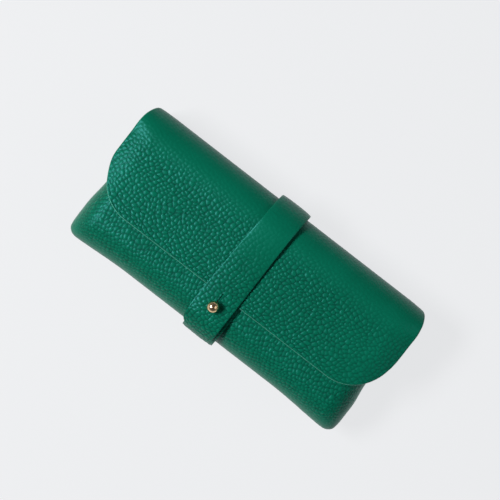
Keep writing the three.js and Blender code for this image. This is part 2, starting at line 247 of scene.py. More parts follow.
def whole(count, coarse=COARSE):
    """The nearest number of grid lines that a coarser inner grid can share."""
    return max(int(round((count - 1) / coarse)), 2) * coarse + 1


def signed_volume(vertices, faces):
    """Six times the volume under triangles, positive where they face outwards."""
    a, b, c = (vertices[faces[:, k]] for k in range(3))
    return np.einsum("ij,ij->", a, np.cross(b, c))


def closed_sheet(name, outer, inner, hide, grain, materials, bulge=0.12, coarse=COARSE):
    """A sheet with thickness: outside, inside and a slightly rounded cut edge all round.
    The inside takes only every so many lines of the grid, since it carries no grain.
    The three materials are for the outside, the cut edge and the inside."""
    rows, columns = outer.shape[:2]
    top = np.arange(rows * columns).reshape(rows, columns)
    sparse = inner[::coarse, ::coarse]
    bottom = top.size + np.arange(sparse.shape[0] * sparse.shape[1]).reshape(sparse.shape[:2])
    middle = (border(outer) + border(inner)) / 2
    away = np.cross(border(outer) - border(inner), np.roll(middle, -1, 0) - np.roll(middle, 1, 0))
    away /= np.maximum(np.linalg.norm(away, axis=1), 1e-9)[:, None]
    if ((middle - middle.mean(0)) * away).sum() < 0:
        away = -away
    ring = top.size + bottom.size + np.arange(len(middle))
    vertices = np.concatenate([outer.reshape(-1, 3), sparse.reshape(-1, 3), middle + bulge * away])

    top_ring, bottom_ring = border(top), border(bottom)
    after = np.roll(ring, -1)
    upper_rim = np.stack([top_ring, ring, after, np.roll(top_ring, -1)], -1)
    ahead = np.roll(bottom_ring, -1)
    half = coarse // 2
    fans = [np.stack([ring[k::coarse], bottom_ring if k < half else ahead, after[k::coarse]], -1)
            for k in range(coarse)]
    fans.append(np.stack([ring[half::coarse], bottom_ring, ahead], -1))
    lower_rim = np.concatenate(fans)

    outside, inside = quads(top), quads(bottom)[:, ::-1]
    four = np.concatenate([outside, upper_rim, inside])
    slots = np.repeat([0.0, 1.0, 2.0, 1.0], [len(outside), len(upper_rim), len(inside), len(lower_rim)])
    volume = signed_volume(vertices, four[:, :3]) + signed_volume(vertices, four[:, [0, 2, 3]])
    if volume + signed_volume(vertices, lower_rim) < 0:
        four, lower_rim = four[:, ::-1], lower_rim[:, ::-1]
    all_hide = np.concatenate([hide.reshape(-1, 2), hide[::coarse, ::coarse].reshape(-1, 2), border(hide)])
    all_grain = np.concatenate([grain.ravel(), np.full(bottom.size + len(ring), GRAIN_LEVEL)])
    faces = four.tolist() + lower_rim.tolist()
    return mesh_object(name, vertices, faces, slots, materials, all_hide, all_grain)


def ribbon(name, path, stations, left, right, spacing, thickness, materials, inset=0.0, relief=0.0,
           drop=None, grain_at=0.0, strength=None, open_ends=(True, True), bulge=0.12, coarse=COARSE):
    """A sheet along a path: left and right give its two edges at each station, inset lies it deeper,
    drop(x, s) sinks it along its own normal, relief is the height of its pebbles and strength(x, y)
    their share of it. Its open ends and its sides are rolled over a little."""
    centre, normal = path.sample(stations)
    columns = whole((right - left).max() / spacing + 1, coarse)
    share = np.linspace(0, 1, columns)
    x = left[:, None] + (right - left)[:, None] * share[None, :]
    s = np.repeat(stations[:, None], columns, axis=1)
    lower = np.full(x.shape, float(inset)) if drop is None else inset + drop(x, s)
    point = centre[:, None, :] - normal[:, None, :] * lower[..., None]
    outer = np.concatenate([x[..., None], point], axis=2)
    hide = np.stack([x, s + grain_at], axis=-1)
    grain = pebbles(hide[..., 0], hide[..., 1])
    share = np.ones(x.shape) if strength is None else strength(x, point[..., 0])
    normals = grid_normals(outer)
    inner = outer - normals * thickness
    to_edge = np.minimum(x - left[:, None], right[:, None] - x)
    for is_open, reach in zip(open_ends, (s - stations[0], stations[-1] - s)):
        if is_open:
            to_edge = np.minimum(to_edge, reach)
    rolled = 1 - smooth(to_edge / ROLLED)
    lift = relief * share * (grain - GRAIN_LEVEL) * smooth(to_edge / GRAIN_MARGIN)
    lift = lift - min(ROLL_DEPTH, thickness / 6) * rolled
    outer = outer + normals * lift[..., None]
    return closed_sheet(name, outer, inner, hide, muted(grain, share), materials, bulge, coarse)


# ---- materials ------------------------------------------------------------------------------
class Nodes:
    """Makes a material's nodes with short calls."""

    def __init__(self, name):
        self.material = bpy.data.materials.new(name)
        self.material.use_nodes = True
        self.tree = self.material.node_tree
        self.shader = self.tree.nodes["Principled BSDF"]

    def add(self, kind, inputs=None, **settings):
        node = self.tree.nodes.new(kind)
        for key, value in settings.items():
            setattr(node, key, value)
        for key, value in (inputs or {}).items():
            self.put(node, key, value)
        return node

    def put(self, node, key, value):
        if isinstance(value, bpy.types.NodeSocket):
            self.tree.links.new(value, node.inputs[key])
        else:
            node.inputs[key].default_value = value

    def set(self, **inputs):
        for key, value in inputs.items():
            self.put(self.shader, key.replace("_", " "), value)

    def ramp(self, factor, stops):
        node = self.add("ShaderNodeValToRGB", {"Fac": factor})
        elements = node.color_ramp.elements
        while len(elements) < len(stops):
            elements.new(0.5)
        for element, (position, colour) in zip(elements, stops):
            element.position = position
            element.color = (*colour, 1)
        return node.outputs["Color"]

    def mix(self, factor, a, b, blend="MIX"):
        node = self.add("ShaderNodeMix", data_type="RGBA", blend_type=blend)
        for index, value in ((0, factor), (6, a), (7, b)):
            if isinstance(value, bpy.types.NodeSocket):
                self.tree.links.new(value, node.inputs[index])
            else:
                node.inputs[index].default_value = value
        return node.outputs[2]

    def maths(self, operation, *values):
        node = self.add("ShaderNodeMath", operation=operation)
        for index, value in enumerate(values):
            if isinstance(value, bpy.types.NodeSocket):
                self.tree.links.new(value, node.inputs[index])
            else:
                node.inputs[index].default_value = value
        return node.outputs[0]


def leather_material(name, tint=1.0, roughness=0.33, fine=0.22):
    """Dyed hide with a little colour drift, painted shade darkening the creases of the grain, fine wrinkles
    and pores as bump.
    """
    n = Nodes(name)
    hide = n.add("ShaderNodeUVMap", uv_map="hide").outputs["UV"]
    grain = n.add("ShaderNodeAttribute", attribute_name="grain").outputs["Fac"]
    drift = n.add("ShaderNodeTexNoise", {"Vector": hide, "Scale": 28.0, "Detail": 3.0}).outputs["Fac"]
    pores = n.add("ShaderNodeTexVoronoi", {"Vector": hide, "Scale": 1900.0}).outputs["Distance"]
    wrinkles = n.add("ShaderNodeTexNoise", {"Vector": hide, "Scale": 1100.0, "Detail": 6.0,
                                            "Roughness": 0.65, "Distortion": 0.6}).outputs["Fac"]
    # Painted shade: the base colour is darkened where the grain attribute is low, in the creases between the
    # pebbles.
    painted_crease_shade = n.ramp(grain, [(0.0, (0.32, 0.32, 0.32)), (0.33, (0.76, 0.76, 0.76)), (0.66, (1, 1, 1))])
    dyed = n.ramp(drift, [(0.3, (0.0008 * tint, 0.106 * tint, 0.058 * tint)),
                          (0.7, (0.0012 * tint, 0.124 * tint, 0.070 * tint))])
    n.set(Base_Color=n.mix(1.0, dyed, painted_crease_shade, "MULTIPLY"))
    rough = n.maths("MULTIPLY_ADD", grain, -0.10, roughness + 0.08)
    n.set(Roughness=n.maths("MULTIPLY_ADD", wrinkles, 0.10, rough))
    n.set(IOR=1.34, Specular_Tint=(0.20, 0.92, 1.0, 1))
    height = n.maths("MULTIPLY_ADD", wrinkles, 0.7, pores)
    bump = n.add("ShaderNodeBump", {"Height": height, "Strength": fine, "Distance": 0.00012})
    n.set(Normal=bump.outputs["Normal"])
    return n.material


def raw_edge_material():
    """The cut edge: pale undyed fibres that took up some dye."""
    n = Nodes("raw_edge")
    hide = n.add("ShaderNodeTexCoord").outputs["Object"]
    fibres = n.add("ShaderNodeTexNoise", {"Vector": hide, "Scale": 2600.0, "Detail": 5.0}).outputs["Fac"]
    n.set(Base_Color=n.ramp(fibres, [(0.3, (0.014, 0.160, 0.110)), (0.7, (0.055, 0.300, 0.220))]))
    n.set(Roughness=0.85)
    bump = n.add("ShaderNodeBump", {"Height": fibres, "Strength": 0.5, "Distance": 0.0002})
    n.set(Normal=bump.outputs["Normal"])
    return n.material


def suede_material(name, dark, light):
    """Short napped fibre: mottled where it was brushed, with a soft sheen at grazing angles."""
    n = Nodes(name)
    place = n.add("ShaderNodeTexCoord").outputs["Object"]
    nap = n.add("ShaderNodeTexNoise", {"Vector": place, "Scale": 90.0, "Detail": 4.0}).outputs["Fac"]
    fibre = n.add("ShaderNodeTexNoise", {"Vector": place, "Scale": 3800.0, "Detail": 3.0}).outputs["Fac"]
    mottled = n.ramp(nap, [(0.35, dark), (0.65, light)])
    speckle = n.ramp(fibre, [(0.3, (0.8, 0.8, 0.8)), (0.7, (1, 1, 1))])
    n.set(Base_Color=n.mix(1.0, mottled, speckle, "MULTIPLY"), Roughness=0.95)
    n.set(Sheen_Weight=0.12, Sheen_Roughness=0.5)
    bump = n.add("ShaderNodeBump", {"Height": fibre, "Strength": 0.4, "Distance": 0.0002})
    n.set(Normal=bump.outputs["Normal"])
    return n.material


def gold_material():
    """Light gold plate, polished, with faintly rubbed patches."""
    n = Nodes("gold_plate")
    place = n.add("ShaderNodeTexCoord").outputs["Object"]
    rubbed = n.add("ShaderNodeTexNoise", {"Vector": place, "Scale": 900.0, "Detail": 4.0}).outputs["Fac"]
    n.set(Base_Color=n.ramp(rubbed, [(0.35, (0.80, 0.55, 0.30)), (0.7, (0.88, 0.66, 0.40))]))
    n.set(Metallic=1.0, Roughness=n.maths("MULTIPLY_ADD", rubbed, 0.12, 0.16))
    bump = n.add("ShaderNodeBump", {"Height": rubbed, "Strength": 0.06, "Distance": 0.0002})
    n.set(Normal=bump.outputs["Normal"])
    return n.material


def thread_material():
    n = Nodes("thread")
    place = n.add("ShaderNodeTexCoord").outputs["Object"]
    ply = n.add("ShaderNodeTexWave", {"Vector": place, "Scale": 900.0, "Distortion": 1.5}).outputs["Fac"]
    # Painted shade: the thread's colour is darker where the wave is low, in the grooves between the plies.
    n.set(Base_Color=n.ramp(ply, [(0.2, (0.004, 0.06, 0.04)), (0.8, (0.01, 0.11, 0.075))]), Roughness=0.7)
    bump = n.add("ShaderNodeBump", {"Height": ply, "Strength": 0.4, "Distance": 0.0001})
    n.set(Normal=bump.outputs["Normal"])
    return n.material


HIDE = leather_material("pebbled_leather")
STRAP_HIDE = leather_material("strap_leather", tint=0.98, roughness=0.30)
RAW = raw_edge_material()
FLESH = suede_material("flesh_side", (0.006, 0.06, 0.04), (0.010, 0.085, 0.058))
SUEDE = suede_material("suede_lining", (0.008, 0.055, 0.038), (0.013, 0.078, 0.055))
GOLD = gold_material()
THREAD = thread_material()
HIDE_SET = (HIDE, RAW, FLESH)
# The strap's free run has dyed edges; the edges of its base run are raw.
STRAP_SET = (STRAP_HIDE, STRAP_HIDE, FLESH)
STRAP_BASE_SET = (STRAP_HIDE, RAW, FLESH)
SUEDE_SET = (SUEDE, SUEDE, SUEDE)


# ---- the pouch ------------------------------------------------------------------------------
def outline_level(ax, by):
    """Place between plateau (0) and outline (1) towards the ends and the bottom fold.
    Both at once make a pinched, slightly rounded corner."""
    level = np.maximum(ax, by)
    safe = np.maximum(level, 1e-9)
    cx, cy = ax / safe, by / safe
    power = 2.3 + 5.5 * level**4
    norm = np.maximum((cx**power + cy**power) ** (1 / power), 1e-9)
    rho = np.sin(level * math.pi / 2)
    return rho * cx / norm, rho * cy / norm, level


def pouch_grid(upper, spacing):
    """Outer face of the upper or lower half of the filled pouch, with its place on the hide."""
    end_steps, fold_steps = whole(22 / spacing) - 1, whole(28 / spacing) - 1
    plateau_x = HALF_LENGTH - END_REACH
    plateau_y = FOLD_Y + FOLD_REACH
    middle = np.linspace(-plateau_x, plateau_x, whole(2 * plateau_x / spacing))
    ends = np.linspace(1, 0, end_steps, endpoint=False)
    ax = np.r_[ends, np.zeros(len(middle)), ends[::-1]]
    flat_x = np.r_[np.full(end_steps, -plateau_x), middle, np.full(end_steps, plateau_x)]
    side = np.r_[-np.ones(end_steps), np.zeros(len(middle)), np.ones(end_steps)]
    rows_y = np.linspace(plateau_y, MOUTH_Y, whole((MOUTH_Y - plateau_y) / spacing))
    by = np.r_[np.linspace(1, 0, fold_steps, endpoint=False), np.zeros(len(rows_y))]
    flat_y = np.r_[np.full(fold_steps, plateau_y), rows_y]
    ax, by = np.meshgrid(ax, by)
    flat_x, flat_y = np.meshgrid(flat_x, flat_y)
    side = np.repeat(side[None, :], len(by), axis=0)
    px, py, level = outline_level(ax, by)
    climb = np.cos(level * math.pi / 2)

    reach = END_REACH + (5.0 if upper else 1.5) * smooth((8 - flat_y) / 26)
    shoulder = HALF_LENGTH - reach
    narrower = 1.5 * smooth((flat_y + 25) / np.where(side < 0, 19, 25)) + 1.0 * smooth((py - 0.8) / 0.2)
    narrower -= np.where(side < 0, -0.5, 0.6 * smooth((-12 - flat_y) / 12))
    x = flat_x / plateau_x * shoulder + side * (reach - narrower) * px
    y = flat_y - FOLD_REACH * py
    y -= (0.25 + (EAR - 0.25) * smooth((np.abs(x) - 50) / 40)) * py
    if upper:
        over = np.clip((flat_y - SPINE_CENTRE[0]) / MOUTH_RADIUS, 0, 1)
        crown = POUCH_TOP - MOUTH_RADIUS * (1 - np.sqrt(1 - over**2))
        z = MID_Z + (crown - MID_Z) * climb
        last_y = MOUTH_Y + (POUCH_TOP - z) * MOUTH_SLANT
    else:
        z = MID_Z - MID_Z * climb
        pressed = CHANNEL * (1 - smooth((np.abs(x - BASE_MIDDLE) - CHANNEL_HALF) / CHANNEL_FADE))
        z = np.maximum(z, pressed)
        last_y = MOUTH_Y + 3.6 * z / MID_Z
    run = np.clip((flat_y - plateau_y) / (MOUTH_Y - plateau_y), 0, 1)
    y += run**3 * (last_y - MOUTH_Y)

    groove = 0.7 * smooth((level - 0.9) / 0.1)
    length = np.maximum(np.hypot(px, py), 1e-9)
    x -= side * groove * px / length
    y += groove * py / length
    beside_strap = smooth((np.abs(x - BASE_MIDDLE) - 8) / 10)
    lift = swell(x, y) * climb * smooth((MOUTH_Y - y) / 10) * beside_strap
    z += (0.45 if upper else 0.12) * lift * (1 if upper else -1) * smooth(z if not upper else 1)
    points = np.stack([x, y, z], axis=-1)

    down = (1 - climb) * MID_Z
    hide = np.stack([x + side * down * ax / np.maximum(level, 1e-9),
                     y - down * by / np.maximum(level, 1e-9)], axis=-1)
    if not upper:
        hide[..., 1] = -hide[..., 1] - 150
    return points, hide, level


def pouch_half(name, node, upper, inset, thickness, spacing, materials, relief):
    points, hide, level = pouch_grid(upper, spacing)
    normals = grid_normals(points)
    if (normals[..., 2].mean() > 0) != upper:
        normals = -normals
    grain = pebbles(hide[..., 0] * (1.2 if upper else 1.0), hide[..., 1] * (0.8 if upper else 1.0))
    calm = 1 - 0.75 * smooth((level - 0.45) / 0.35)
    outer = points - normals * inset
    inner = outer - normals * thickness
    outer = outer + normals * (relief * calm * (grain - GRAIN_LEVEL))[..., None]
    obj = closed_sheet(name, outer, inner, hide, muted(grain, calm), materials, bulge=0.05)
    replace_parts(obj, node)
    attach(obj, "pouch")
    return obj


def make_pouch():
    for name, node, upper, spacing in (("front_leather", "front_panel", True, 0.5),
                                       ("back_leather", "back_panel", False, 0.6)):
        pouch_half(name, node, upper, 0.0, LEATHER, spacing, HIDE_SET, 0.40)
    for name, node, upper in (("front_suede", "front_lining", True), ("back_suede", "back_lining", False)):
        pouch_half(name, node, upper, LINING_INSET, LINING, 1.6, SUEDE_SET, 0.0)


# ---- divider --------------------------------------------------------------------------------
def make_divider():
    low, high = node_box("divider")
    path = Path([(low[1], high[2]), (high[1], high[2])][::-1])
    stations = np.linspace(0, path.length, 65)
    from_fold = (path.length - stations) / 6
    half = high[0] - 1.0 - 5.0 * (1 - np.sqrt(np.clip(1 - (1 - np.clip(from_fold, 0, 1)) ** 2, 0, 1)))

    thickness = high[2] - low[2] - 0.1
    obj = ribbon("divider_suede", path, stations, -half, half, 1.0, thickness, SUEDE_SET, inset=0.05)
    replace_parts(obj, "divider")
    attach(obj, "pouch")

    low, high = node_box("divider_binding")
    turn = (high[2] - low[2]) / 2
    middle = (high[2] + low[2]) / 2
    fold = [(low[1], low[2]), *arc((high[1] - turn, middle), (turn, turn), -90, 90, 16), (low[1], high[2])]
    path = Path(fold)
    stations = np.linspace(0, path.length, 29)
    half = np.full(len(stations), high[0] - 0.3)
    obj = ribbon("divider_edge_leather", path, stations, -half, half, 1.2, 0.75, HIDE_SET, relief=0.06,
                 grain_at=300, coarse=1)
    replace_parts(obj, "divider_binding")
    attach(obj, "pouch")
    for name, z in (("divider_stitches_front", high[2]), ("divider_stitches_back", low[2])):
        places = [(x, low[1] + 1.3, z) for x in np.arange(-high[0] + 4, high[0] - 4, 3.0)]
        obj = stitches(name, places, (1, 0))
        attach(obj, "pouch")


# ---- stitches -------------------------------------------------------------------------------
def stitches(name, places, direction, length=2.3, width=0.55, height=0.28):
    """Short raised stitches lying in XY, each a squashed round bead drawn out along its line."""
    around, along = 8, 7
    theta = np.linspace(0, 2 * math.pi, around, endpoint=False)
    phi = np.linspace(0, math.pi, along)[1:-1]
    body = [(-np.cos(p) * length / 2, np.sin(p) ** 0.6 * width / 2 * math.cos(t),
             np.sin(p) ** 0.6 * height / 2 * math.sin(t)) for p in phi for t in theta]
    bead = np.array([(-length / 2, 0, 0), *body, (length / 2, 0, 0)])
    rings = 1 + np.arange(len(phi) * around).reshape(len(phi), around)
    last = len(bead) - 1
    faces = [[0, rings[0, (k + 1) % around], rings[0, k]] for k in range(around)]
    faces += [[last, rings[-1, k], rings[-1, (k + 1) % around]] for k in range(around)]
    faces += [[rings[i, k], rings[i, (k + 1) % around], rings[i + 1, (k + 1) % around], rings[i + 1, k]]
              for i in range(len(phi) - 1) for k in range(around)]
    cos, sin = direction
    turn = np.array([[cos, sin, 0], [-sin, cos, 0], [0, 0, 1]])
    vertices = np.concatenate([bead @ turn + np.array(place) for place in places])
    mesh = bpy.data.meshes.new(name)
    all_faces = [[v + k * len(bead) for v in face] for k in range(len(places)) for face in faces]
    mesh.from_pydata((vertices * MM).tolist(), [], all_faces)
    mesh.polygons.foreach_set("use_smooth", np.ones(len(all_faces), bool))
    mesh.materials.append(THREAD)
    obj = bpy.data.objects.new(name, mesh)
    bpy.context.scene.collection.objects.link(obj)
    return obj


# ---- spine and flap -------------------------------------------------------------------------
def lower_wrap_path():
    """From the flat of the back, round the back corner and up to the middle of the spine."""
    corner = arc((SPINE_Y - BACK_CORNER, BACK_CORNER), (BACK_CORNER, BACK_CORNER), -90, 0)
    return Path([(MOUTH_Y, 0.0), *corner, (SPINE_Y, SPLIT_Z)])


def upper_wrap_path():
    """From the middle of the spine over the top to the flap's free edge."""
    turn = arc(SPINE_CENTRE, (SPINE_RADIUS, SPINE_RADIUS), 0, 90)
    return Path([(SPINE_Y, SPLIT_Z), *turn, (FLAP_EDGE_Y, FLAP_TOP)])


def flap_sides(y):
    """The flap's left and right edges at a distance up from its free edge. Its left corner is cut
    a little softer than its right one."""
    near_edge = np.clip((y - FLAP_EDGE_Y) / FLAP_CORNER, 0, 1)
    corner = FLAP_CORNER * (1 - np.sqrt(1 - (1 - near_edge) ** 2))
    near_spine = np.clip((y - SPINE_CENTRE[0]) / SPINE_RADIUS, 0, 1)
    half = HALF_FLAP - corner - SPINE_NARROWING * (1 - np.sqrt(1 - near_spine**2))
    return -half + 1.9 * smooth((9 - y) / 16), half + 0.5 - 1.3 * smooth((14 - y) / 28)


def end_droop(x, y):
    """The flap sags where it runs past the rounded ends of the pouch, less so at the spine."""
    sag = 0.8 + 2.6 * smooth((36 - y) / 16)
    return sag * np.clip((np.abs(x) - 80) / 14, 0, 1) ** 2


def flap_drop(x, s):
    path = upper_wrap_path()
    y = path.sample(s.ravel())[0][:, 0].reshape(s.shape)
    on_top = smooth((path.length - s - 45) / -12)
    return end_droop(x, y) - 0.45 * swell(x, y) * on_top + 0.12 * smooth(s / 10)


def corner_drop(x, s):
    """Room for the strap under the back corner, and the start of the flap's sag at its ends."""
    pressed = 1 - smooth((np.abs(x - BASE_MIDDLE) - CHANNEL_HALF) / CHANNEL_FADE)
    return CHANNEL * pressed * (1 - smooth((s - 3) / 7)) + end_droop(x, SPINE_Y) * smooth((s - 6) / 12)


def flap_grain(x, y):
    """Pebbles are strong on the flap, pulled smooth round the spine and softer at the right end."""
    return (0.26 + 0.74 * smooth((34 - y) / 20)) * (1 - 0.2 * smooth((x - 50) / 40))


def flap_stations(path, spacing):
    """Rows of the flap: even, then closer together round the free corners."""
    corner_start = path.length - FLAP_CORNER
    turn = np.linspace(0, math.pi / 2, whole(FLAP_CORNER * 1.3 / spacing))
    straight = np.linspace(0, corner_start, whole(corner_start / spacing))[:-1]
    return np.r_[straight, corner_start + FLAP_CORNER * np.sin(turn)]


def make_wrap():
    lower, upper = lower_wrap_path(), upper_wrap_path()
    layers = (
        ("leather", "panel", "pebbled_leather", HIDE_SET, 0.0, LEATHER, 0.43, 0.44, 0.0, 0.38),
        ("suede", "lining", "suede_lining", SUEDE_SET, LINING_INSET, LINING, 1.0, 0.0, 2.0, 0.1),
    )
    for kind, node, slot, materials, inset, thickness, spacing, relief, margin, bulge in layers:
        stations = np.linspace(0, lower.length, whole(lower.length / spacing))
        y = lower.sample(stations)[0][:, 0]
        flat_half = HALF_LENGTH - END_REACH + 0.5
        left, right = flap_sides(y)
        taper = smooth(stations / 15)
        left = -flat_half + (left + flat_half) * taper + margin
        right = flat_half + (right - flat_half) * taper - margin
        obj = ribbon(f"spine_{kind}", lower, stations, left, right, spacing, thickness, materials,
                     inset=inset, relief=relief, drop=corner_drop, grain_at=-lower.length, strength=flap_grain,
                     open_ends=(True, False))
        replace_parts(obj, f"spine_{node}")
        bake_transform(obj)

        stations = flap_stations(upper, spacing)
        stations = stations * (upper.length - margin) / upper.length
        y = upper.sample(stations)[0][:, 0] - margin * smooth(stations / upper.length)
        left, right = flap_sides(y)
        obj = ribbon(f"flap_{kind}", upper, stations, left + margin, right - margin, spacing, thickness,
                     materials, inset=inset, relief=relief, drop=flap_drop, strength=flap_grain,
                     open_ends=(False, True), bulge=bulge)
        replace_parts(obj, f"flap_{node}")
        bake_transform(obj)


# ---- the strap ------------------------------------------------------------------------------
def strap_base_path():
    centre = (STRAP_FOLD_Y + STRAP_FOLD_REACH, BASE_TOP / 2)
    bend = arc(centre, (STRAP_FOLD_REACH + 0.5, BASE_TOP / 2), 90, 270, 40)
    return Path([(BASE_FRONT_Y, BASE_TOP), *bend, (MOUTH_Y, 0.0)])


def strap_lower_path():
    centre = (STRAP_BACK_Y - BACK_CORNER, BACK_CORNER)
    return Path([(MOUTH_Y, 0.0), *arc(centre, (BACK_CORNER, BACK_CORNER), -90, 0), (STRAP_BACK_Y, SPLIT_Z)])


SHOULDER_ANGLE = 65
STRAP_RADIUS = STRAP_TOP - SPINE_CENTRE[1]


def strap_upper_path():
    turn = arc(SPINE_CENTRE, (STRAP_RADIUS, STRAP_RADIUS), 0, SHOULDER_ANGLE)
    return Path([(STRAP_BACK_Y, SPLIT_Z), *turn])


def strap_tail_path():
    """Over the flap, down to the stud and on round the bottom fold to the tip."""
    turn = arc(SPINE_CENTRE, (STRAP_RADIUS, STRAP_RADIUS), SHOULDER_ANGLE, 90)
    stud_level = BASE_TOP + 2.6
    reach = STRAP_FOLD_REACH + 1.8
    centre = (STRAP_FOLD_Y + STRAP_FOLD_REACH, BASE_TOP / 2)
    tip = arc(centre, (reach, stud_level - BASE_TOP / 2), 90, 140, 16)
    on_flap = [(14.0, STRAP_TOP - 0.8), (-6.0, STRAP_TOP - 1.0), (-22.0, stud_level)]
    return Path([*turn, *on_flap, *tip], soften=5.0)


def strap_crown(left, right):
    """The strap's edges lie a little lower than its middle."""
    def drop(x, _s):
        across = np.abs(x - (left + right) / 2) / ((right - left) / 2)
        return 0.45 * across**3
    return drop


def strap_grain(_x, y):
    """Soft pebbles towards the tip, smoother at the spine."""
    return 0.35 + 0.65 * smooth((24 - y) / 34)


def strap_piece(name, path, left_at, right_at, grain_at, open_ends, materials=STRAP_SET):
    stations = np.linspace(0, path.length, whole(path.length / 0.45))
    left = np.interp(stations, *left_at)
    right = np.interp(stations, *right_at)
    obj = ribbon(name, path, stations, left, right, 0.42, STRAP, materials, relief=0.36, grain_at=grain_at,
                 drop=strap_crown(left.mean(), right.mean()), strength=strap_grain, open_ends=open_ends,
                 bulge=0.08)
    return obj


def make_strap():
    base, lower = strap_base_path(), strap_lower_path()
    upper, tail = strap_upper_path(), strap_tail_path()
    even = ([0, 1], [BASE_LEFT, BASE_LEFT]), ([0, 1], [BASE_RIGHT, BASE_RIGHT])
    wider = [0, 45, base.length], [BASE_LEFT - 0.9, BASE_LEFT - 0.9, BASE_LEFT]
    obj = strap_piece("strap_back", base, wider, even[1], 500 - base.length, (True, False), STRAP_BASE_SET)
    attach(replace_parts(obj, "strap_base"), "pouch")
    obj = strap_piece("strap_corner", lower, *even, 500, (False, False))
    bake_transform(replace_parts(obj, "strap_spine"))
    shoulder_left, shoulder_right = BASE_LEFT - 1.3, BASE_RIGHT - 1.2
    obj = strap_piece("strap_over_spine", upper, ([6, upper.length], [BASE_LEFT, shoulder_left]),
                      ([6, upper.length], [BASE_RIGHT, shoulder_right]), 500 + lower.length, (False, False))
    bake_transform(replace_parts(obj, "strap_shoulder"))

    end = tail.length
    left_at = ([0, 8, 22, 35, 56, end - 14, end - 6, end - 3, end - 1, end],
               [shoulder_left, -9.9, -10.9, -11.3, -12.2, -12.2, -11.7, -11.0, -9.8, -8.4])
    right_at = ([0, 8, 22, end - 6, end - 1.2, end], [shoulder_right, 9.3, 9.2, 9.1, 9.0, 8.2])
    obj = strap_piece("strap_end", tail, left_at, right_at, 500 + lower.length + upper.length, (False, True))
    cut_keyhole(obj)
    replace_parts(obj, "strap_tail")
    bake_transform(obj)


def make_strap_stitches():
    """A sewn box on the back, where the strap is held to the case."""
    left, right, low, high, z = BASE_LEFT + 2.2, BASE_RIGHT - 2.2, 8.0, 24.0, 0.08
    across = [(x, y, z) for y in (low, high) for x in np.linspace(left + 1.5, right - 1.5, 5)]
    along = [(x, y, z) for x in (left, right) for y in np.linspace(low + 1.6, high - 1.6, 5)]
    rows = (("strap_stitches_across", across, (1, 0)), ("strap_stitches_along", along, (0, 1)))
    for name, places, direction in rows:
        obj = stitches(name, places, direction)
        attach(obj, "pouch")


def cut_keyhole(obj):
    """A round hole for the stud's neck and a slit from it towards the spine."""
    hole_radius, slit_length, slit_width = 2.2, 8.7, 0.42
    start = math.asin(slit_width / 2 / hole_radius)
    rim = [(hole_radius * math.sin(a), hole_radius * math.cos(a))
           for a in np.linspace(start, 2 * math.pi - start, 40)]
    outline = [*rim, (-slit_width / 2, slit_length), (slit_width / 2, slit_length)][::-1]
    low, high = tail_low[2] - 5, STRAP_TOP + 5
    vertices = [(STUD_X + x, STUD_Y + y, z) for z in (low, high) for x, y in outline]
    n = len(outline)
    faces = [[k, (k + 1) % n, n + (k + 1) % n, n + k] for k in range(n)]
    faces += [list(range(n))[::-1], list(range(n, 2 * n))]
    cutter_mesh = bpy.data.meshes.new("keyhole_cutter")
    cutter_mesh.from_pydata((np.array(vertices) * MM).tolist(), [], faces)
    cutter_mesh.materials.append(STRAP_HIDE)
    cutter = bpy.data.objects.new("keyhole_cutter", cutter_mesh)
    bpy.context.scene.collection.objects.link(cutter)
    cut = obj.modifiers.new("keyhole", "BOOLEAN")
    cut.operation, cut.object, cut.solver = "DIFFERENCE", cutter, "EXACT"
    cut.material_mode = "TRANSFER"
    graph = bpy.context.evaluated_depsgraph_get()
    mesh = bpy.data.meshes.new_from_object(obj.evaluated_get(graph))
    obj.modifiers.clear()
    obj.data = mesh
    bpy.data.objects.remove(cutter)


# ---- stud and screw -------------------------------------------------------------------------
def turned(name, profile, steps, material, floor_z):
    """A turned piece at the stud's place, from (radius, height) points, first and last on the axis."""
    rings = [(r, z) for r, z in profile if r > 1e-6]
    angles = np.linspace(0, 2 * math.pi, steps, endpoint=False)
    vertices = [(0, 0, profile[0][1])]
    vertices += [(r * math.cos(a), r * math.sin(a), z) for r, z in rings for a in angles]
    vertices.append((0, 0, profile[-1][1]))
    index = 1 + np.arange(len(rings) * steps).reshape(len(rings), steps)
    last = len(vertices) - 1
    faces = [[0, int(index[0, (k + 1) % steps]), int(index[0, k])] for k in range(steps)]
    faces += [[last, int(index[-1, k]), int(index[-1, (k + 1) % steps])] for k in range(steps)]
    for i in range(len(rings) - 1):
        for k in range(steps):
            j = (k + 1) % steps
            faces.append([int(index[i, k]), int(index[i, j]), int(index[i + 1, j]), int(index[i + 1, k])])
    mesh = bpy.data.meshes.new(name)
    place = np.array(vertices) + (STUD_X, STUD_Y, floor_z)
    mesh.from_pydata((place * MM).tolist(), [], faces)
    mesh.polygons.foreach_set("use_smooth", np.ones(len(faces), bool))
    mesh.materials.append(material)
    mesh.set_sharp_from_angle(angle=math.radians(35))
    obj = bpy.data.objects.new(name, mesh)
    bpy.context.scene.collection.objects.link(obj)
    return obj


